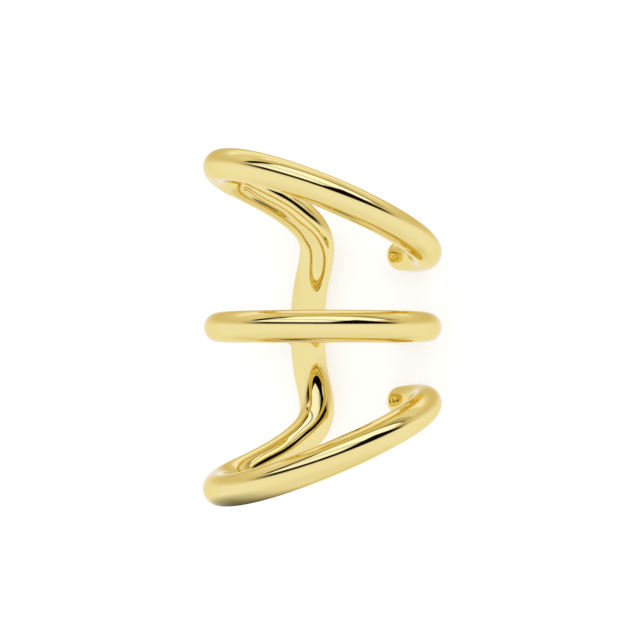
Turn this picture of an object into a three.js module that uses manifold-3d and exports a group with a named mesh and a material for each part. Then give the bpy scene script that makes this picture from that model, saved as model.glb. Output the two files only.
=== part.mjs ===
// An ear cuff in one piece of polished metal. Three open hoops of round wire sit one above another
// on one round cylinder: a level hoop in the middle, and an outer hoop above and below it that leans
// down and up towards it. The outer hoops are one wire: behind the ear it leaves the upper hoop, bends
// down into a bar along the back, and bends out again into the lower hoop. The middle hoop is fused
// to that bar. The free ends are domed. The gap between the bar and the free ends is where the edge
// of the ear slides in.
//
// The cuff is drawn upright and then laid on its side, as it rests on a table. Upright, its front
// faces -Y, +X is to the right and +Z to the top, and the origin is the middle of the middle hoop.
import * as THREE from "three";
import Module from "manifold-3d";

// Driving dimensions, in millimetres
const hoopRadius = 5.16; // the outer wire's centre line, seen from above
const outerWireRadius = 0.79; // at the front of the outer hoops
const barWireRadius = 0.91; // along the arms and the back bar, where the wire is thicker
const middleWireRadius = 0.77;
const middleRadius = hoopRadius + outerWireRadius - middleWireRadius; // outsides flush
const hoopHeight = 5.79; // an outer hoop's centre above the middle hoop's
const shoulderHeight = 4.46; // where an arm's bend ends and the back bar begins

// Driving angles, in degrees. A plan angle runs from +X towards the back.
const hoopTilt = 22.1; // an outer hoop falls from left to right
const hoopLean = 5.9; // and falls a little from front to back
const freeEnd = 36.8; // plan angle of the outer hoops' free ends
const middleFreeEnd = 36.8;
const armStart = -147.5; // where the wire leaves the outer hoop's plane
const shoulder = -267.2; // plan angle of the shoulders
const barMiddle = -261.1; // plan angle of the back bar where the middle hoop joins it

// How far each bend keeps the direction that it starts and ends with, in millimetres
const armReach = 6.5;
const shoulderReach = 1.5;
const barTopReach = 1.5;
const barMiddleReach = 3.0;

// The shoulders cut their corner: the outer wire runs forward of the cylinder there. In
// millimetres, along the wire from the middle of the bar.
const cutDepth = 1.1; // how far forward, at most
const cutStart = 1.95;
const cutRise = 4.2; // the stretch over which it comes forward
const cutEnd = 7.5;
const cutFall = 5.0; // the stretch over which it goes back

// Fineness of the facets
const sectionSides = 16;
const hoopStep = 6; // degrees between sections along a hoop
const bendSteps = 22; // sections along an arm
const barSteps = 8; // sections along half of the back bar
const domeSteps = 4;
const halvings = 40; // when the resting side is looked for

const radians = THREE.MathUtils.degToRad;

// Height of the upper hoop's centre line at a plan angle: a plane laid across the cylinder.
function hoopPlane(angle) {
  const fallRight = hoopRadius * Math.cos(radians(angle)) * Math.tan(radians(hoopTilt));
  const fallBack = hoopRadius * Math.sin(radians(angle)) * Math.tan(radians(hoopLean));
  return hoopHeight - fallRight - fallBack;
}

// The cylinder rolled out flat: x is the distance along the circle, y the height.
function unrolled(angle, height) {
  return new THREE.Vector2(radians(angle) * hoopRadius, height);
}

// One section of a wire: its centre, the way out from the axis, and its radius. The centre is on
// the cylinder, or a little forward of it.
function section(angle, height, pathRadius, wireRadius, forward = 0) {
  const way = new THREE.Vector3(Math.cos(radians(angle)), Math.sin(radians(angle)), 0);
  const flat = way.multiplyScalar(pathRadius).sub(new THREE.Vector3(0, forward, 0));
  return { centre: flat.clone().setZ(height), outward: flat.normalize(), wireRadius };
}

// How far forward the outer wire runs, some way along it from the middle of the bar.
function cornerCut(way) {
  const rise = THREE.MathUtils.smoothstep(way, cutStart, cutStart + cutRise);
  const fall = THREE.MathUtils.smoothstep(way, cutEnd, cutEnd + cutFall);
  return cutDepth * (rise - fall);
}

// The upper half of the outer wire, from its free end to the middle of the back bar.
function upperHalf() {
  const sections = [];
  const hoopSteps = Math.round((freeEnd - armStart) / hoopStep);
  for (let i = 0; i <= hoopSteps; i += 1) {
    const angle = THREE.MathUtils.lerp(freeEnd, armStart, i / hoopSteps);
    sections.push(section(angle, hoopPlane(angle), hoopRadius, outerWireRadius));
  }

  const start = unrolled(armStart, hoopPlane(armStart));
  const along = unrolled(armStart - 1, hoopPlane(armStart - 1)).sub(start).setLength(armReach);
  const top = unrolled(shoulder, shoulderHeight);
  const middle = unrolled(barMiddle, 0);
  const arm = new THREE.CubicBezierCurve(
    start,
    start.clone().add(along),
    new THREE.Vector2(top.x, top.y + shoulderReach),
    top,
  );
  const bar = new THREE.CubicBezierCurve(
    top,
    new THREE.Vector2(top.x, top.y - barTopReach),
    new THREE.Vector2(middle.x, barMiddleReach),
    middle,
  );
  const armToMiddle = bar.getLength();
  for (const [curve, steps, beyond] of [[arm, bendSteps, armToMiddle], [bar, barSteps, 0]]) {
    for (let i = 1; i <= steps; i += 1) {
      const point = curve.getPointAt(i / steps);
      const angle = THREE.MathUtils.radToDeg(point.x / hoopRadius);
      const share = curve === arm ? THREE.MathUtils.smoothstep(i / steps, 0, 0.5) : 1;
      const radius = THREE.MathUtils.lerp(outerWireRadius, barWireRadius, share);
      const forward = cornerCut(beyond + curve.getLength() * (1 - i / steps));
      sections.push(section(angle, point.y, hoopRadius, radius, forward));
    }
  }
  return sections;
}

// The whole outer wire: the upper half, then its mirror image below.
function outerWire() {
  const upper = upperHalf();
  const lower = upper.slice(0, -1).reverse().map((part) => ({
    centre: new THREE.Vector3(part.centre.x, part.centre.y, -part.centre.z),
    outward: part.outward,
    wireRadius: part.wireRadius,
  }));
  return [...upper, ...lower];
}

// The middle hoop, level, from its free end round the front and left to inside the back bar.
function middleWire() {
  const steps = Math.round((middleFreeEnd - barMiddle) / hoopStep);
  return Array.from({ length: steps + 1 }, (_, i) => {
    const angle = THREE.MathUtils.lerp(middleFreeEnd, barMiddle, i / steps);
    return section(angle, 0, middleRadius, middleWireRadius);
  });
}

// Adds the sections of a half ball beyond one end of a wire, the end's own section left out.
function dome(end, direction) {
  return Array.from({ length: domeSteps - 1 }, (_, i) => {
    const lift = (Math.PI / 2) * ((i + 1) / domeSteps);
    const centre = end.centre.clone().addScaledVector(direction, end.wireRadius * Math.sin(lift));
    return { centre, outward: end.outward, wireRadius: end.wireRadius * Math.cos(lift) };
  });
}

// A closed skin round the sections, with a pole at each end. Each ring is round the wire's path:
// one of its axes points out from the cylinder, and the other is square to that and to the path.
function skin(path) {
  const last = path.length - 1;
  const backward = path[0].centre.clone().sub(path[1].centre).normalize();
  const forward = path[last].centre.clone().sub(path[last - 1].centre).normalize();
  const sections = [...dome(path[0], backward).reverse(), ...path, ...dome(path[last], forward)];

  const positions = [];
  sections.forEach(({ centre, outward, wireRadius }, i) => {
    const before = sections[Math.max(i - 1, 0)].centre;
    const after = sections[Math.min(i + 1, sections.length - 1)].centre;
    const side = after.clone().sub(before).normalize().cross(outward).normalize();
    for (let k = 0; k < sectionSides; k += 1) {
      const turn = (2 * Math.PI * k) / sectionSides;
      const point = centre.clone()
        .addScaledVector(outward, wireRadius * Math.cos(turn))
        .addScaledVector(side, wireRadius * Math.sin(turn));
      positions.push(...point.toArray());
    }
  });
  const startPole = path[0].centre.clone().addScaledVector(backward, path[0].wireRadius);
  const endPole = path[last].centre.clone().addScaledVector(forward, path[last].wireRadius);
  positions.push(...startPole.toArray(), ...endPole.toArray());

  const index = [];
  const start = sections.length * sectionSides;
  const end = start + 1;
  const lastRing = (sections.length - 1) * sectionSides;
  for (let k = 0; k < sectionSides; k += 1) {
    const next = (k + 1) % sectionSides;
    for (let ring = 0; ring < lastRing; ring += sectionSides) {
      const [a, b] = [ring + k, ring + next];
      const [c, d] = [a + sectionSides, b + sectionSides];
      index.push(a, b, c, b, d, c);
    }
    index.push(start, next, k, end, lastRing + k, lastRing + next);
  }
  const geometry = new THREE.BufferGeometry();
  geometry.setAttribute("position", new THREE.Float32BufferAttribute(positions, 3));
  geometry.setIndex(index);
  return geometry;
}

// Joins closed skins into one solid.
const wasm = await Module();
wasm.setup();

function solid(geometry) {
  return new wasm.Manifold(new wasm.Mesh({
    numProp: 3,
    vertProperties: new Float32Array(geometry.getAttribute("position").array),
    triVerts: new Uint32Array(geometry.index.array),
  }));
}

function joined(first, second) {
  const mesh = solid(first).add(solid(second)).getMesh();
  const geometry = new THREE.BufferGeometry();
  geometry.setAttribute("position", new THREE.BufferAttribute(mesh.vertProperties, 3));
  geometry.setIndex(new THREE.BufferAttribute(mesh.triVerts, 1));
  geometry.computeVertexNormals();
  return geometry;
}

const goldFinish = new THREE.MeshStandardMaterial({
  color: 0xf0dfa0,
  roughness: 0.06,
  metalness: 1,
});

const cuff = new THREE.Mesh(joined(skin(outerWire()), skin(middleWire())), goldFinish);
cuff.name = "ear_cuff";

// How far some sections reach, seen from above, in the direction of a plan angle in radians.
function reach(sections, angle) {
  const way = new THREE.Vector3(Math.cos(angle), Math.sin(angle), 0);
  return Math.max(...sections.map(({ centre, wireRadius }) => centre.dot(way) + wireRadius));
}

// Laid down, the cuff stands on its outer free ends and on the back bar. This is the plan angle of
// the side that then faces the floor, where both reach equally far. It is found by halving.
function floorSide() {
  const [end, ...rest] = upperHalf();
  const back = rest.slice(-bendSteps - barSteps);
  let [low, high] = [radians(freeEnd), radians(barMiddle + 360)];
  for (let i = 0; i < halvings; i += 1) {
    const between = (low + high) / 2;
    if (reach([end], between) > reach(back, between)) low = between;
    else high = between;
  }
  return low;
}

// The upright cuff's top points along +X, and its front up and towards -Y. Its box stands on the
// origin.
const down = floorSide();
const lying = new THREE.Group();
lying.add(cuff);
lying.quaternion.setFromRotationMatrix(new THREE.Matrix4().makeBasis(
  new THREE.Vector3(0, -Math.sin(down), -Math.cos(down)),
  new THREE.Vector3(0, Math.cos(down), -Math.sin(down)),
  new THREE.Vector3(1, 0, 0),
));
const box = new THREE.Box3().setFromObject(lying, true);
const middle = box.getCenter(new THREE.Vector3());
lying.position.set(-middle.x, -middle.y, -box.min.z);

const group = new THREE.Group();
group.add(lying);
export default group;
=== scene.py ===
# %% [markdown]
# # A gold ear cuff
# An ear cuff holds on to the rim of an ear without a piercing. This one is cast in one piece: three
# open hoops of round wire, a slanting one above and below a level one, joined by a bar behind the
# ear. It lies on its open side, as it would on a table, and the lens looks at its front.
#
# The lesson starts by loading the imported part. The sizes below repeat the ones that the part was
# made from.

import bpy
import numpy as np
from mathutils import Matrix, Vector


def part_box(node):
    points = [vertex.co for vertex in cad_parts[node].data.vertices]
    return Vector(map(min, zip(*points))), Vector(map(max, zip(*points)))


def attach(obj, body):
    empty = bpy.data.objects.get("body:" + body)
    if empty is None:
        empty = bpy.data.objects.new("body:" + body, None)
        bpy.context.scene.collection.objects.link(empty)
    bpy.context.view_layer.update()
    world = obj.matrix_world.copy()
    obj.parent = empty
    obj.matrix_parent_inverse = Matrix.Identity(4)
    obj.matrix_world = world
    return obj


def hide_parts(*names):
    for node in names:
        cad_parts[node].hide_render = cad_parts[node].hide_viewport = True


MM = 0.001  # lengths are in metres
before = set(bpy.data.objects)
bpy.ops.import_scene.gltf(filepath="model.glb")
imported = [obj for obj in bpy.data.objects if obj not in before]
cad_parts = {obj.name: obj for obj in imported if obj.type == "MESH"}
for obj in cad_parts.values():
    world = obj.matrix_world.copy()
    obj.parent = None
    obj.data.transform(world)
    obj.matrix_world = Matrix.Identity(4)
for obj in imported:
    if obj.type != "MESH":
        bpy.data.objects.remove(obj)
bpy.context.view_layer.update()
cuff_low, cuff_high = (np.array(corner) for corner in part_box("ear_cuff"))
print("the part's box, mm:", np.round((cuff_high - cuff_low) / MM, 2))

# %% [markdown]
# ## The sizes that drive the shape
# The wires run round an upright cylinder, as if the cuff were bent round a rod. A point on a
# centre line is a plan angle, seen from above, and a height, so the whole design is a drawing on a
# rolled-out sheet. Angles start at the right and run towards the back. The middle wire is a touch
# thinner and runs 0.02 mm further out, which makes the outsides flush. The two shoulders, where the
# arms turn into the bar, stand forward of the cylinder.

# %% Driving sizes
HOOP_RADIUS = 5.16 * MM  # centre line of the outer wire, seen from above
OUTER_WIRE = 0.79 * MM  # wire radius at the front of the outer hoops
BAR_WIRE = 0.91 * MM  # wire radius along the arms and the back bar
MIDDLE_WIRE = 0.77 * MM
MIDDLE_RADIUS = HOOP_RADIUS + OUTER_WIRE - MIDDLE_WIRE  # outsides flush

HOOP_HEIGHT = 5.79 * MM
SHOULDER_HEIGHT = 4.46 * MM
HOOP_TILT = np.radians(22.1)
HOOP_LEAN = np.radians(5.9)
FREE_END = np.radians(36.8)
ARM_START = np.radians(-147.5)
SHOULDER = np.radians(-267.2)
BAR_MIDDLE = np.radians(-261.1)

ARM_REACH = 6.5 * MM
SHOULDER_REACH = 1.5 * MM
BAR_TOP_REACH = 1.5 * MM
BAR_MIDDLE_REACH = 3.0 * MM

CUT_DEPTH = 1.1 * MM  # how far forward of the cylinder the shoulders stand, at most
CUT_START = 1.95 * MM  # from the middle of the bar, along the wire
CUT_RISE = 4.2 * MM  # the stretch over which the wire comes forward
CUT_END = 7.5 * MM
CUT_FALL = 5.0 * MM  # the stretch over which it goes back

RING_STEP = 0.12 * MM  # between one section of a wire and the next
RING_SIDES = 64
BALL_RINGS = 16  # in the half ball at a free end
HOOP_POINTS = 600  # on a hoop's path, before it is divided evenly
BEND_POINTS = 400  # on each bend's path
SMOOTHING = 4  # rings: the width of the bell that the path is smoothed by
print("wire, mm:", 2 * OUTER_WIRE / MM, "and", 2 * BAR_WIRE / MM, "at the bar")

# %% [markdown]
# ## The wires' paths
# A slanting hoop is a flat cut through the cylinder, so its height is a formula. The arm and the
# bar are bends that start and end in a known direction, which is what a Bezier curve holds best.
# The shoulders' shift forward is a third number beside each point. Polished metal shows every
# change of curvature as a kink in its reflections, so the finished path is smoothed along its
# length: a bend then starts as gently as a real one.

# %% Paths on the rolled-out cylinder


def hoop_plane(angle):
    """Height of the upper hoop: its centre height, less the falls to the right and the back."""
    fall_right = HOOP_RADIUS * np.cos(angle) * np.tan(HOOP_TILT)
    fall_back = HOOP_RADIUS * np.sin(angle) * np.tan(HOOP_LEAN)
    return HOOP_HEIGHT - fall_right - fall_back


def unrolled(angle, height):
    """A point on the rolled-out sheet: the way round the cylinder, and the height."""
    return np.stack([angle * HOOP_RADIUS, height], axis=-1)


def bezier(p0, p1, p2, p3):
    """The cubic Bezier curve: the four points weighted by (1-t)^3, 3(1-t)^2 t, 3(1-t) t^2, t^3."""
    t = np.linspace(0, 1, BEND_POINTS)[:, None]
    return (1 - t) ** 3 * p0 + 3 * (1 - t) ** 2 * t * p1 + 3 * (1 - t) * t**2 * p2 + t**3 * p3


def way_along(points):
    """How far along a path each of its points lies."""
    return np.concatenate([[0], np.cumsum(np.linalg.norm(np.diff(points, axis=0), axis=1))])


def smoothstep(x):
    """0 below 0, 1 above 1, and 3x^2 - 2x^3 between."""
    x = np.clip(x, 0, 1)
    return x * x * (3 - 2 * x)


def evenly(points, values, step):
    """The same path, and the values along it, at even distances of about one step."""
    along = way_along(points)
    even = np.linspace(0, along[-1], int(round(along[-1] / step)) + 1)
    columns = [np.interp(even, along, column) for column in points.T]
    return np.stack(columns, axis=-1), np.interp(even, along, values)


def smoothed(values, width):
    """A running average over a bell-shaped window, with the ends carried on straight."""
    reach = 3 * width
    window = np.exp(-0.5 * (np.arange(-reach, reach + 1) / width) ** 2)
    before = 2 * values[0] - values[reach:0:-1]
    after = 2 * values[-1] - values[-2 : -reach - 2 : -1]
    return np.convolve(np.concatenate([before, values, after]), window / window.sum(), "valid")


def corner_cut(way):
    """How far forward of the cylinder the wire runs, a way along it from the bar's middle."""
    rise = smoothstep((way - CUT_START) / CUT_RISE)
    fall = smoothstep((way - CUT_END) / CUT_FALL)
    return CUT_DEPTH * (rise - fall)


def outer_path():
    """The outer wire: free end, hoop, arm and half the bar, then the mirror image of all that."""
    hoop_angle = np.linspace(FREE_END, ARM_START, HOOP_POINTS)
    hoop = unrolled(hoop_angle, hoop_plane(hoop_angle))
    heading = hoop[-1] - hoop[-2]
    top = unrolled(SHOULDER, SHOULDER_HEIGHT)
    middle = unrolled(BAR_MIDDLE, 0.0)
    arm = bezier(
        hoop[-1],
        hoop[-1] + heading / np.linalg.norm(heading) * ARM_REACH,
        top + [0, SHOULDER_REACH],
        top,
    )
    bar = bezier(top, top - [0, BAR_TOP_REACH], middle + [0, BAR_MIDDLE_REACH], middle)
    half = np.concatenate([hoop[:-1], arm[:-1], bar])
    along_arm = (way_along(half) - way_along(hoop)[-1]) / way_along(arm)[-1]
    half_wire = OUTER_WIRE + (BAR_WIRE - OUTER_WIRE) * smoothstep(2 * along_arm)
    half = np.column_stack([half, corner_cut(way_along(half)[-1] - way_along(half))])
    points = np.concatenate([half, half[-2::-1] * [1, -1, 1]])
    wire = np.concatenate([half_wire, half_wire[-2::-1]])
    points, wire = evenly(points, wire, RING_STEP)
    return np.stack([smoothed(column, SMOOTHING) for column in points.T], axis=-1), wire


def on_cylinder(points, radius):
    """Rolls the sheet up: the way round becomes an angle. The last column is a shift forward."""
    way, height, forward = points.T
    angle = way / HOOP_RADIUS
    return np.stack([radius * np.cos(angle), radius * np.sin(angle) - forward, height], axis=-1)


outer_sheet, outer_wire = outer_path()
outer_line = on_cylinder(outer_sheet, HOOP_RADIUS)

middle_ends = unrolled(np.array([FREE_END, BAR_MIDDLE]), np.zeros(2))
middle_sheet, middle_wire = evenly(
    np.column_stack([middle_ends, np.zeros(2)]), np.full(2, MIDDLE_WIRE), RING_STEP
)
middle_line = on_cylinder(middle_sheet, MIDDLE_RADIUS)
outer_length = way_along(outer_line)[-1]
print("outer wire is", round(outer_length / MM, 1), "mm long,", len(outer_line), "rings")

# %% [markdown]
# ## The wires' skins
# A wire is a circle carried along a path. The usual trouble is twist: a frame that follows the
# path's own curvature spins where the curve is straight. Here the cylinder gives a steady
# direction, straight out from its axis, which on the cylinder is square to the path. At the
# shoulders the path leaves the cylinder and is up to 21 degrees off square, so the circles there
# stand askew and the wire comes out up to 7 per cent thinner one way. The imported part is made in
# the same way, so the two agree. Each free end is closed by a half ball, whose rings are more
# circles, shrinking as they go.

# %% A circle carried along a path


def swept(line, wire):
    """Grid of points: the ring centre, plus the wire radius times (outward cos + sideways sin).

    Outward is the way out from the axis, and sideways is square to it and to the path. A half ball
    is added at each end: its rings move on by radius sin(a) and shrink to radius cos(a).
    """
    lift = np.linspace(0, np.pi / 2, BALL_RINGS + 1)[1:, None]
    back = line[0] - line[1]
    back /= np.linalg.norm(back)
    on = line[-1] - line[-2]
    on /= np.linalg.norm(on)
    first_ball = line[0] + back * wire[0] * np.sin(lift[::-1])
    last_ball = line[-1] + on * wire[-1] * np.sin(lift)
    centres = np.concatenate([first_ball, line, last_ball])
    radii = np.concatenate(
        [wire[0] * np.cos(lift[::-1, 0]), wire, wire[-1] * np.cos(lift[:, 0])]
    )

    def with_ends(rows):
        """The rows, with the first and the last repeated once for every ring of a half ball."""
        return np.pad(rows, ((BALL_RINGS, BALL_RINGS), (0, 0)), mode="edge")

    path = with_ends(np.gradient(line, axis=0))
    path /= np.linalg.norm(path, axis=1, keepdims=True)
    outward = with_ends(line) * [1, 1, 0]
    outward /= np.linalg.norm(outward, axis=1, keepdims=True)
    sideways = np.cross(path, outward)
    sideways /= np.linalg.norm(sideways, axis=1, keepdims=True)
    turn = np.linspace(0, 2 * np.pi, RING_SIDES, endpoint=False)[None, :, None]
    ring = outward[:, None] * np.cos(turn) + sideways[:, None] * np.sin(turn)
    return centres[:, None] + radii[:, None, None] * ring


def skin(name, grid):
    """A closed mesh from a grid of rings. The first and last ring have shrunk to a pole each."""
    rings, sides = grid.shape[:2]
    body = grid[1:-1].reshape(-1, 3)
    points = np.concatenate([body, grid[:1, 0], grid[-1:, 0]])
    here = np.arange((rings - 2) * sides).reshape(rings - 2, sides)
    beside = np.roll(here, -1, axis=1)
    quads = np.stack([here[:-1], beside[:-1], beside[1:], here[1:]], axis=-1).reshape(-1, 4)
    first, last = len(body), len(body) + 1
    start = np.stack([np.full(sides, first), beside[0], here[0]], axis=-1)
    end = np.stack([np.full(sides, last), here[-1], beside[-1]], axis=-1)
    mesh = bpy.data.meshes.new(name)
    mesh.from_pydata(points.tolist(), [], quads.tolist() + start.tolist() + end.tolist())
    mesh.update()
    piece = bpy.data.objects.new(name, mesh)
    bpy.context.collection.objects.link(piece)
    return piece


outer_piece = skin("cuff_outer_wire", swept(outer_line, outer_wire))
middle_piece = skin("cuff_middle_wire", swept(middle_line, middle_wire))
face_counts = [len(piece.data.polygons) for piece in (outer_piece, middle_piece)]
print("faces:", face_counts[0], "outer and", face_counts[1], "middle")

# %% [markdown]
# ## One casting
# On a cast cuff the middle hoop and the bar are one piece of metal, with a small smooth fillet
# where they meet. A Boolean joins the two skins exactly, but leaves a sharp crease. A voxel remesh
# would round it, and roughen the mirror finish everywhere. So the crease is rounded by a formula:
# near it, every vertex slides on to the surface where a soft minimum of the two wires' distances
# is zero, and takes its normal from the same formula.

# %% Join the wires
union = outer_piece.modifiers.new("join", "BOOLEAN")
union.operation = "UNION"
union.solver = "EXACT"
union.object = middle_piece
evaluated = outer_piece.evaluated_get(bpy.context.evaluated_depsgraph_get())
joined = bpy.data.meshes.new_from_object(evaluated)
for part in (outer_piece, middle_piece):
    bpy.data.objects.remove(part)
cuff = bpy.data.objects.new("polished_cuff", joined)
bpy.context.collection.objects.link(cuff)
print("joined skin:", len(joined.vertices), "vertices")

# %% Round the crease
FILLET = 0.45 * MM
NEAR_JOINT = 1.6 * MM  # vertices this close to the joint may slide
WIRES_NEAR = 2.5 * NEAR_JOINT  # the stretches of wire that they are measured from
SLIDES = 6  # steps towards the surface, each a correction of the last


def from_wire(points, line, wire):
    """Each point's distance from a wire's surface, and the unit direction of that distance.

    It is measured square to the wire, except beyond an end, which is a half ball.
    """
    nearest = np.argmin(((points[:, None] - line[None]) ** 2).sum(axis=2), axis=1)
    heading = np.gradient(line, axis=0)[nearest]
    heading /= np.linalg.norm(heading, axis=1, keepdims=True)
    offset = points - line[nearest]
    between_ends = ((nearest > 0) & (nearest < len(line) - 1))[:, None]
    offset -= (offset * heading).sum(axis=1, keepdims=True) * heading * between_ends
    away = np.linalg.norm(offset, axis=1)
    return away - wire[nearest], offset / away[:, None]


def fused(points, bar, hoop):
    """The soft minimum of the distances from two wires, and its slope.

    It is the smaller distance, less h^3 times a sixth of the fillet, where h falls from 1 on the
    crease to 0 where the distances differ by the fillet.
    """
    bar_gap, bar_way = from_wire(points, *bar)
    hoop_gap, hoop_way = from_wire(points, *hoop)
    h = np.clip(1 - np.abs(bar_gap - hoop_gap) / FILLET, 0, 1)
    gap = np.minimum(bar_gap, hoop_gap) - h**3 * FILLET / 6
    share = np.where(bar_gap < hoop_gap, 1 - h**2 / 2, h**2 / 2)[:, None]
    return gap, share * bar_way + (1 - share) * hoop_way


positions = np.empty(len(joined.vertices) * 3)
joined.vertices.foreach_get("co", positions)
positions = positions.reshape(-1, 3)
joint = middle_line[-1]
close = np.linalg.norm(positions - joint, axis=1) < NEAR_JOINT
bar_near = np.linalg.norm(outer_line - joint, axis=1) < WIRES_NEAR
hoop_near = np.linalg.norm(middle_line - joint, axis=1) < WIRES_NEAR
bar_stretch = (outer_line[bar_near], outer_wire[bar_near])
hoop_stretch = (middle_line[hoop_near], middle_wire[hoop_near])
moving = positions[close]
for _ in range(SLIDES):
    gap, slope = fused(moving, bar_stretch, hoop_stretch)
    moving = moving - gap[:, None] * slope / (slope**2).sum(axis=1, keepdims=True)
gap, slope = fused(moving, bar_stretch, hoop_stretch)
shift = np.linalg.norm(moving - positions[close], axis=1)
positions[close] = moving
joined.vertices.foreach_set("co", positions.ravel())
joined.update()
print("fillet: largest shift", round(shift.max() / MM, 3), "mm, left over", abs(gap).max() / MM)

# %% [markdown]
# ## Lying on its open side
# Drawn upright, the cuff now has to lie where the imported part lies: on its free ends and the back
# bar. The side that faces the floor is the one towards which both reach equally far, and halving
# finds it: too far one way the free ends lead, too far the other way the bar does. The turn goes
# into the mesh itself, because a finished piece's object stays at the origin, unturned.

# %% Lay the cuff down
HALVINGS = 40


def reach_towards(angle, line, wire):
    """How far a wire reaches, seen from above, in the direction of a plan angle."""
    return (line[:, 0] * np.cos(angle) + line[:, 1] * np.sin(angle) + wire).max()


behind = outer_line[:, 0] < 0
ends_side, bar_side = FREE_END, BAR_MIDDLE + 2 * np.pi
for _ in range(HALVINGS):
    down = (ends_side + bar_side) / 2
    ends_reach = reach_towards(down, outer_line[~behind], outer_wire[~behind])
    bar_reach = reach_towards(down, outer_line[behind], outer_wire[behind])
    ends_side, bar_side = (down, bar_side) if ends_reach > bar_reach else (ends_side, down)
print("the side down is at", round(np.degrees(down), 2), "degrees")

upright_to_lying = np.array(
    [[0, 0, 1], [-np.sin(down), np.cos(down), 0], [-np.cos(down), -np.sin(down), 0]]
)
lying = positions @ upright_to_lying.T
size = lying.max(axis=0) - lying.min(axis=0)
offset = (cuff_low + cuff_high) / 2 - (lying.max(axis=0) + lying.min(axis=0)) / 2
offset[2] = cuff_low[2] - lying[:, 2].min()
lying += offset
joined.vertices.foreach_set("co", lying.ravel())
joined.update()
print("cuff, mm:", np.round(size / MM, 2), " moved by", np.round(offset / MM, 2))

# %% [markdown]
# ## A mirror without facets
# Polishing leaves one continuous surface. The mesh is made of small flat faces, so each vertex is
# given one direction to face, and the light is worked out from those. It is the average of the
# faces round the vertex, except on the fillet, where it comes from the formula that shaped it.

# %% Smooth shading
joined.polygons.foreach_set("use_smooth", np.ones(len(joined.polygons), dtype=bool))
normals = np.empty(len(joined.vertices) * 3)
joined.vertices.foreach_get("normal", normals)
normals = normals.reshape(-1, 3)
slope /= np.linalg.norm(slope, axis=1, keepdims=True)
normals[close] = slope @ upright_to_lying.T
joined.normals_split_custom_set_from_vertices(normals.tolist())
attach(cuff, "root")
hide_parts("ear_cuff")
print("normals set on", len(normals), "vertices,", int(close.sum()), "of them by the fillet")

# %% [markdown]
# ## Shader maths in Python
# A material is a small graph of nodes. Written out node by node it is hard to read, so one class
# stands for an output socket and turns Python's operators into Math nodes. Any other node comes
# from one method, which takes the node's type, its settings and the values or links it needs.

# %% A small shader language


class Value:
    """An output socket that can be added, subtracted and multiplied."""

    def __init__(self, tree, socket):
        self.tree = tree
        self.socket = socket

    def node(self, kind, settings=None, inputs=None, output=0):
        """Adds a node: settings first, then its inputs, by name or number. Gives one output."""
        made = self.tree.nodes.new(kind)
        for name, value in (settings or {}).items():
            setattr(made, name, value)
        for name, value in (inputs or {}).items():
            if isinstance(value, Value):
                self.tree.links.new(value.socket, made.inputs[name])
            else:
                made.inputs[name].default_value = value
        return Value(self.tree, made.outputs[output] if made.outputs else None)

    def maths(self, operation, first, second):
        return self.node("ShaderNodeMath", {"operation": operation}, {0: first, 1: second})

    def __add__(self, other):
        return self.maths("ADD", self, other)

    def __radd__(self, other):
        return self.maths("ADD", other, self)

    def __sub__(self, other):
        return self.maths("SUBTRACT", self, other)

    def __rsub__(self, other):
        return self.maths("SUBTRACT", other, self)

    def __mul__(self, other):
        return self.maths("MULTIPLY", self, other)

    def __rmul__(self, other):
        return self.maths("MULTIPLY", other, self)

    def between(self, low, high):
        """0 below low, 1 above high, and a smooth step between them."""
        return self.node(
            "ShaderNodeMapRange",
            {"interpolation_type": "SMOOTHSTEP"},
            {"Value": self, "From Min": low, "From Max": high},
        )

    def mix(self, first, second):
        """The first colour where this is 0, and the second where it is 1."""
        return self.node(
            "ShaderNodeMix", {"data_type": "RGBA"}, {0: self, 6: first, 7: second}, output=2
        )


def start(tree):
    """An empty tree, and a Value to build from."""
    tree.nodes.clear()
    return Value(tree, None)


print("shader maths ready")

# %% [markdown]
# ## Polished gold plate
# Gold plate is buffed until it mirrors, so almost all of its look is its colour and what it
# reflects. What keeps it from looking like plastic is faint: the plate is a touch richer in some
# places, the buffing wheel leaves a slight haze in patches, wear leaves a fine speckle that is a
# little rougher, and a barely felt unevenness bends the reflections. Each of these is one noise at
# its own scale.

# %% The gold
GOLD = (0.858, 0.690, 0.225, 1)
RICH_GOLD = (0.848, 0.675, 0.211, 1)  # where the plate is richer
GRAZING_GOLD = (0.93, 0.85, 0.57, 1)  # metal mirrors paler along its edges
POLISH_ROUGH = 0.03
HAZE_ROUGH = 0.03  # added where there is haze
WEAR_ROUGH = 0.03  # added where there is wear


def gold_material():
    """Metal whose colour, roughness and bump each follow a noise over the object."""
    material = bpy.data.materials.new("polished_gold")
    material.use_nodes = True
    sheet = start(material.node_tree)
    place = sheet.node("ShaderNodeTexCoord", output="Object")

    def noise(per_metre, detail):
        return sheet.node(
            "ShaderNodeTexNoise", {}, {"Vector": place, "Scale": per_metre, "Detail": detail}
        )

    plating = noise(260, 2).between(0.35, 0.65)  # patches about 4 mm across
    haze = noise(900, 3).between(0.45, 0.8)  # about 1 mm
    wear = noise(14000, 2).between(0.55, 0.9)  # under 0.1 mm
    unevenness = noise(700, 1)
    bump = sheet.node(
        "ShaderNodeBump",
        {},
        {"Strength": 0.04, "Distance": 0.02 * MM, "Height": unevenness},
        "Normal",
    )
    surface = sheet.node(
        "ShaderNodeBsdfPrincipled",
        {},
        {
            "Base Color": plating.mix(GOLD, RICH_GOLD),
            "Metallic": 1.0,
            "Specular Tint": GRAZING_GOLD,
            "Roughness": POLISH_ROUGH + HAZE_ROUGH * haze + WEAR_ROUGH * wear,
            "Normal": bump,
        },
    )
    sheet.node("ShaderNodeOutputMaterial", {}, {"Surface": surface})
    return material


joined.materials.clear()
joined.materials.append(gold_material())
print("gold has", len(joined.materials[0].node_tree.nodes), "nodes")

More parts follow.
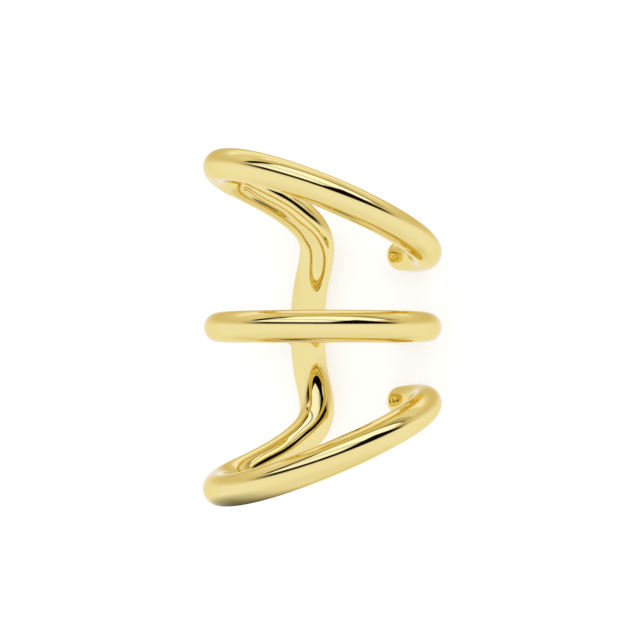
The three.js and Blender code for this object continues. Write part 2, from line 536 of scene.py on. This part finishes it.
# %% [markdown]
# ## The studio that the metal mirrors
# A mirror shows its room: white below and level with the cuff, a duller wall above that, and over
# the front of the cuff a bright panel with a seam across it. Black cards along the panel's edges
# draw the thin dark lines that make the metal look hard. The room could be built of real cards on
# stands. It is painted on the sky instead, by direction: seen from the cuff, each direction has a
# share to the right, a share to the front and a share to the top. A straight edge of a card
# overhead is a plane through the cuff, so it is a weighted sum of those shares, and a soft step on
# the sum paints it. The places and the brightness of everything here were found by trial, for the
# view from the front. The lamps are cool: seen once in the gold they look pale yellow, and seen
# twice, gold in gold, they look deep orange.

# %% Directions of the cuff, as it lies
TO_RIGHT, TO_BACK, TO_TOP = upright_to_lying.T

world = bpy.data.worlds.new("studio")
bpy.context.scene.world = world
world.use_nodes = True
sky = start(world.node_tree)
direction = sky.node("ShaderNodeTexCoord", output="Generated")


def share(axis):
    """How much of a direction points along an axis: their dot product."""
    return sky.node(
        "ShaderNodeVectorMath",
        {"operation": "DOT_PRODUCT"},
        {0: direction, 1: tuple(axis)},
        "Value",
    )


right, front, top = share(TO_RIGHT), share(-TO_BACK), share(TO_TOP)
left, back, below = 0.0 - right, 0.0 - front, 0.0 - top
print("the cuff's top points along", np.round(TO_TOP, 2))
print("its front points along", -np.round(TO_BACK, 2))

# %% The walls
DAYLIGHT = np.array([1.020, 1.088, 1.59])  # cool lamps, well bluer than white


def lit(*share_sent_back):
    """The colour of a wall or a card: the lamps' colour, times the share that it sends back."""
    return (*(DAYLIGHT * share_sent_back), 1)


# Each wall: the directions that it covers, and the share of each colour that it sends back
WALLS = (
    (below.between(0.4, 0.9), (0.93, 0.90, 0.84)),  # under the cuff
    (below.between(0.55, 0.8) * back.between(0.2, 0.5), (0.84, 0.77, 0.60)),  # under, at the back
    (top.between(0.05, 0.42), (0.77, 0.67, 0.45)),  # above the cuff's level
    (top.between(0.45, 0.75), (0.87, 0.80, 0.61)),  # higher
    (top.between(0.75, 0.9) * front.between(-0.1, 0.1), (0.73, 0.62, 0.36)),  # overhead, in front
    (back.between(0.28, 0.42) * top.between(0.6, 0.75), (1.05, 1.05, 1.12)),  # high at the back
    (back.between(0.0, 0.05) * top.between(0.93, 0.97), (1.05, 1.05, 1.12)),  # the ceiling behind
)
room = lit(1, 1, 1)
for where, sent_back in WALLS:
    room = where.mix(room, lit(*sent_back))
print("walls painted:", len(WALLS))

# %% The panel and its cards
SOFT = 0.015  # half the width of a card's soft edge
CARD_BLACK = lit(0.004, 0.002, 0.0)
PANEL_BRIGHT = lit(1.24, 1.28, 1.5)
PANEL_BEYOND_SEAM = lit(1.13, 1.18, 1.42)
PANEL_CORNER = lit(0.95, 0.97, 1.08)
SEAM_DARK = 0.65
BACK_LINE_DARK = 0.55
RIGHT_LINE_DARK = 0.35


def strip(value, low, high):
    """1 between low and high, with a soft edge at each."""
    return value.between(low - SOFT, low + SOFT) * (1 - value.between(high - SOFT, high + SOFT))


panel = (
    top.between(0.455, 0.475)
    * (front - 0.35 * top).between(-SOFT, SOFT)
    * (1.3 * top - right).between(-SOFT, SOFT)
)
from_seam = front - 0.4 * right - 0.98 * top
beyond_seam = from_seam.between(-SOFT, SOFT)
panel_light = beyond_seam.mix(PANEL_BRIGHT, PANEL_BEYOND_SEAM)
near_corner = beyond_seam * right.between(-0.05, 0.2)
panel_light = near_corner.mix(panel_light, PANEL_CORNER)
room = panel.mix(room, panel_light)
seam = strip(from_seam, -0.04, 0.04) * panel

front_card = top.between(0.20, 0.31) * (1 - top.between(0.45, 0.47)) * front.between(-0.05, 0.55)
corner_card = (
    (right + 0.4 * front - 1.1 * top).between(-0.08, -0.01)
    * (front - 0.9 * top).between(-SOFT, SOFT)
    * top.between(0.20, 0.31)
)
left_reach = left - 0.9 * top
left_card = (
    strip(front - 0.37 * top, -0.085, 0.085)
    * left_reach.between(-0.5, -0.25)
    * (1 - left_reach.between(0.25, 0.45))
    * top.between(0.4, 0.5)
)
back_line = strip(front - 0.30 * top, -0.045, 0.045) * top.between(0.5, 0.6)
right_line = (
    strip(front - 0.2 * top, -0.12, 0.12)
    * (right - 0.3 * top).between(0.0, 0.2)
    * top.between(0.5, 0.6)
)
faint_lines = (BACK_LINE_DARK * back_line, RIGHT_LINE_DARK * right_line)
for mask in (SEAM_DARK * seam, front_card, corner_card, left_card, *faint_lines):
    room = mask.mix(room, CARD_BLACK)

# Only mirrored rays see this room. Everything else, such as the floor, is lit by plain white.
mirrored = sky.node("ShaderNodeLightPath", output="Is Glossy Ray").mix((1, 1, 1, 1), room)
light = sky.node("ShaderNodeBackground", {}, {"Color": mirrored, "Strength": 1.0})
sky.node("ShaderNodeOutputWorld", {}, {"Surface": light})
print("the sky has", len(world.node_tree.nodes), "nodes")

# %% [markdown]
# ## A pale floor and one soft lamp
# The floor is a plain matt sheet that glows a little by itself, as a light table does, so that the
# contact shadow stays faint. The metal mirrors the painted room and neither the sheet nor the lamp,
# which keeps the reflections clean. One large lamp, almost straight in front of the cuff and a
# little towards its top, gives the shadow its direction.

# %% Floor
FLOOR_REACH = 0.6  # from its middle to each side
FLOOR_MATT = 0.52  # the share of the light that it scatters
FLOOR_GLOW = 0.54
floor_mesh = bpy.data.meshes.new("floor")
floor_corners = np.array([[-1, -1, 0], [1, -1, 0], [1, 1, 0], [-1, 1, 0]]) * FLOOR_REACH
floor_mesh.from_pydata(floor_corners.tolist(), [], [[0, 1, 2, 3]])
floor = bpy.data.objects.new("floor", floor_mesh)
bpy.context.collection.objects.link(floor)
floor.visible_glossy = False
paper = bpy.data.materials.new("pale_paper")
paper.use_nodes = True
sheet = start(paper.node_tree)
matt = sheet.node("ShaderNodeBsdfDiffuse", {}, {"Color": (FLOOR_MATT, FLOOR_MATT, FLOOR_MATT, 1)})
glow = sheet.node("ShaderNodeEmission", {}, {"Color": (1, 1, 1, 1), "Strength": FLOOR_GLOW})
both = sheet.node("ShaderNodeAddShader", {}, {0: matt, 1: glow})
sheet.node("ShaderNodeOutputMaterial", {}, {"Surface": both})
floor_mesh.materials.append(paper)
print("floor side:", 2 * FLOOR_REACH, "m")

# %% Lamp
LAMP_AWAY = 0.25
LAMP_SIDE = 0.15
LAMP_WATTS = 0.12
lamp_data = bpy.data.lights.new("soft_lamp", "AREA")
lamp_data.size = LAMP_SIDE
lamp_data.energy = LAMP_WATTS
lamp = bpy.data.objects.new("soft_lamp", lamp_data)
bpy.context.collection.objects.link(lamp)
cuff_centre = Vector(((cuff_low + cuff_high) / 2).tolist())
lamp_direction = Vector((0.25, -0.55, 1.0)).normalized()
lamp.location = cuff_centre + lamp_direction * LAMP_AWAY
lamp.rotation_euler = lamp_direction.to_track_quat("Z", "Y").to_euler()
lamp.visible_glossy = False
print("lamp at", [round(c, 3) for c in lamp.location])

# %% [markdown]
# ## A dark card beside the lower hoop, a painted shadow
# The underside of the lower hoop is to look darker, as it would if the cuff stood on end on a
# table. Nothing real does that here, because the cuff lies on its side, so a small dark card stands
# in for the table's shadow: painted shade that only the metal mirrors. It stands just past the
# cuff's lower end, is darkest in its middle and fades out towards its rim. Only mirrored rays see
# it. It suits the view from the front: from behind it shows on the lower hoop as a dull patch that
# nothing real would cause.

# %% The painted shadow card that only the metal mirrors
SPOT_MIDDLE = np.array([-3.4, -2.0, -9.15]) * MM  # drawn upright, just below the lower hoop
SPOT_REACH = 4.2 * MM  # from its middle to where it has faded away
SPOT_CORE = 0.14 * SPOT_REACH  # within this it is darkest
SPOT_DARK = 0.88

spot_middle = upright_to_lying @ SPOT_MIDDLE + offset
spot_mesh = bpy.data.meshes.new("shadow_card")
spot_corners = np.array([[0, -1, -1], [0, 1, -1], [0, 1, 1], [0, -1, 1]]) * SPOT_REACH
spot_mesh.from_pydata((spot_corners + spot_middle).tolist(), [], [[0, 1, 2, 3]])
spot = bpy.data.objects.new("shadow_card", spot_mesh)
bpy.context.collection.objects.link(spot)
for ray in ("camera", "diffuse", "shadow", "transmission"):
    setattr(spot, "visible_" + ray, False)
# The card's material is a painted shadow: black in its middle, fading to clear towards its rim.
painted_shadow_material = bpy.data.materials.new("painted_shadow")
painted_shadow_material.use_nodes = True
sheet = start(painted_shadow_material.node_tree)
place = sheet.node("ShaderNodeTexCoord", output="Object")
away = sheet.node(
    "ShaderNodeVectorMath",
    {"operation": "DISTANCE"},
    {0: place, 1: tuple(spot_middle)},
    "Value",
)
clear = sheet.node("ShaderNodeBsdfTransparent")
dark = sheet.node("ShaderNodeBsdfDiffuse", {}, {"Color": (0, 0, 0, 1)})
shadow = SPOT_DARK * (1 - away.between(SPOT_CORE, SPOT_REACH))
both = sheet.node("ShaderNodeMixShader", {}, {0: shadow, 1: clear, 2: dark})
sheet.node("ShaderNodeOutputMaterial", {}, {"Surface": both})
spot_mesh.materials.append(painted_shadow_material)
print("shadow card at", np.round(spot_middle / MM, 2), "mm")

# %% [markdown]
# ## The camera
# A portrait lens, close by, looks at the front of the cuff from just under its level, and one
# degree upwards. Its own top is the cuff's top, so in the picture the cuff looks upright, although
# it lies.

# %% Camera
LENS = 85  # focal length in millimetres, on a sensor that is 36 wide
SENSOR = 36
CAMERA_AWAY = 75.55 * MM
CAMERA_LEFT = 0.138 * MM
CAMERA_HIGH = 0.375 * MM
LOOK_UP = np.radians(0.994)

camera_data = bpy.data.cameras.new("camera")
camera_data.lens = LENS
camera_data.sensor_width = SENSOR
camera_data.clip_start = 0.001
camera_data.clip_end = 10
camera = bpy.data.objects.new("camera", camera_data)
bpy.context.collection.objects.link(camera)
ahead = np.array([0, np.cos(LOOK_UP), np.sin(LOOK_UP)])
upward = np.array([0, -np.sin(LOOK_UP), np.cos(LOOK_UP)])
aside = np.array([1.0, 0, 0])
stand = -CAMERA_AWAY * ahead - CAMERA_LEFT * aside + CAMERA_HIGH * upward
turned = Matrix((upright_to_lying @ np.stack([aside, upward, -ahead], axis=1)).tolist()).to_4x4()
turned.translation = Vector((upright_to_lying @ stand + offset).tolist())
camera.matrix_world = turned
bpy.context.scene.camera = camera
bpy.context.scene.view_settings.view_transform = "Standard"
print("camera at", [round(c, 4) for c in camera.location])
